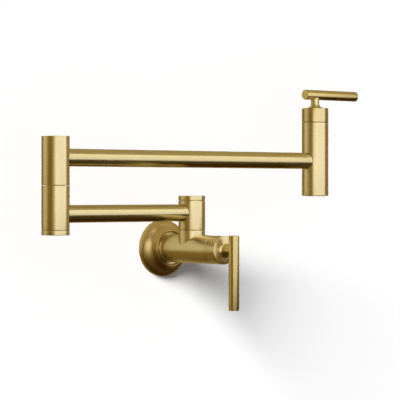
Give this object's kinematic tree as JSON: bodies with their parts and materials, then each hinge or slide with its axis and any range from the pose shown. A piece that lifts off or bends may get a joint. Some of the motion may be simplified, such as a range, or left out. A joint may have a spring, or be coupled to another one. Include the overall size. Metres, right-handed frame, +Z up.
{
  "type": "wall mounted pot filler",
  "caption": "Wall mounted pot filler with a round flange, a lever valve at the wall, folding jointed swing arms and a lever valve on top of the outlet column.",
  "frame": {"origin": "centre of the wall flange's back face, on the wall and on the axis of the wall valve", "axes": "+X to the right along the wall, +Y into the wall, +Z up; at rest the arms lie folded along X"},
  "size_m": [0.4551, 0.1355, 0.2509],
  "materials": {
    "satin_brass": "fine brushed satin, along the tubes and round the columns",
    "plain_brass": "turned, unplated",
    "rubber": "moulded matte",
    "acetal": "moulded matte",
    "ceramic": "lapped",
    "steel": "plain stainless"
  },
  "bodies": {
    "wall_body": {"valve_body": "satin_brass", "wall_flange": "satin_brass", "wall_gasket": "rubber", "flange_o_ring": "rubber", "wall_seat_seal": "rubber", "wall_fixed_disc": "ceramic", "wall_cartridge_body": "plain_brass", "wall_bonnet_nut": "plain_brass", "post_spigot": "plain_brass", "post_joint_o_ring": "rubber", "post_cap_o_ring": "rubber", "post_thrust_washer": "acetal", "post_retaining_nut": "plain_brass"},
    "wall_handle": {"wall_spindle": "plain_brass", "wall_spindle_o_ring": "rubber", "wall_moving_disc": "ceramic", "wall_handle_hub": "satin_brass", "wall_handle_bar": "satin_brass", "wall_set_screw": "steel"},
    "inner_arm": {"post_sleeve": "satin_brass", "post_cap": "satin_brass", "inner_arm_tube": "satin_brass", "elbow_lower_sleeve": "satin_brass", "elbow_bottom_cap": "satin_brass"},
    "outer_arm": {"elbow_upper_sleeve": "satin_brass", "elbow_spigot": "plain_brass", "elbow_joint_o_ring": "rubber", "elbow_cap_o_ring": "rubber", "elbow_thrust_washer": "acetal", "elbow_retaining_nut": "plain_brass", "outer_arm_tube": "satin_brass", "outlet_column": "satin_brass", "outlet_seat_seal": "rubber", "outlet_fixed_disc": "ceramic", "outlet_cartridge_body": "plain_brass", "outlet_bonnet_nut": "plain_brass", "aerator_housing": "satin_brass", "aerator_insert": "acetal", "aerator_washer": "rubber"},
    "outlet_handle": {"outlet_spindle": "plain_brass", "outlet_spindle_o_ring": "rubber", "outlet_moving_disc": "ceramic", "outlet_handle_hub": "satin_brass", "outlet_handle_bar": "satin_brass", "outlet_set_screw": "steel"}
  },
  "joints": [
    {"name": "wall_swivel", "type": "hinge", "parent": "wall_body", "child": "inner_arm", "pos_m": [0, -0.0562, 0.0214], "axis": [0, 0, 1], "range_deg": [0, 180]},
    {"name": "elbow_swivel", "type": "hinge", "parent": "inner_arm", "child": "outer_arm", "pos_m": [-0.186, -0.0562, 0.0712], "axis": [0, 0, 1], "range_deg": [-180, 180]},
    {"name": "wall_valve_turn", "type": "hinge", "parent": "wall_body", "child": "wall_handle", "pos_m": [0, -0.0969, 0], "axis": [0, -1, 0], "range_deg": [0, 90]},
    {"name": "outlet_valve_turn", "type": "hinge", "parent": "outer_arm", "child": "outlet_handle", "pos_m": [0.1884, -0.0562, 0.1467], "axis": [0, 0, -1], "range_deg": [0, 90]}
  ]
}
